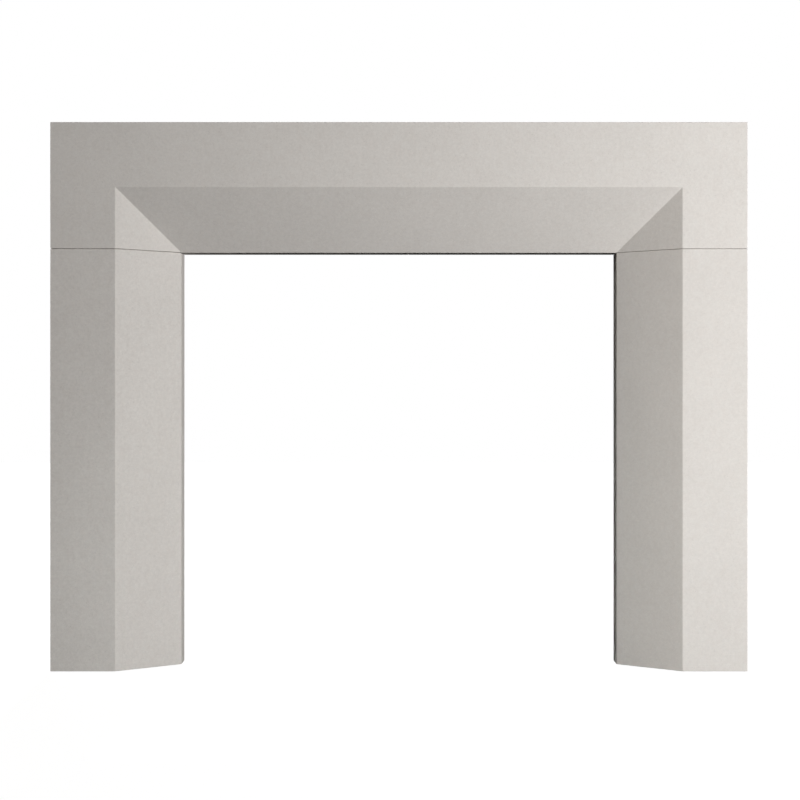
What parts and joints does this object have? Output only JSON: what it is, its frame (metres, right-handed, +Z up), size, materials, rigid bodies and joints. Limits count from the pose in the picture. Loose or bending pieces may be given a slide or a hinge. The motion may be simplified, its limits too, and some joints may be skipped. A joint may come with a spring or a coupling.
{
  "type": "fireplace mantelpiece",
  "caption": "Plain cast-stone fireplace surround: a header block on two legs, with a flat front band, a wide splay round the opening and a square reveal.",
  "frame": {"origin": "on the floor, under the middle of the mantelpiece's width and depth", "axes": "+X to the viewer's right along the header, +Y back into the chimney breast, +Z up; the splayed front faces -Y"},
  "size_m": [1.6764, 0.152, 1.3208],
  "materials": {
    "cast_stone": "smooth matt cast limestone, light warm grey, fine sandy grain"
  },
  "bodies": {
    "root": {"header": "cast_stone", "left_leg": "cast_stone", "right_leg": "cast_stone"}
  },
  "joints": []
}
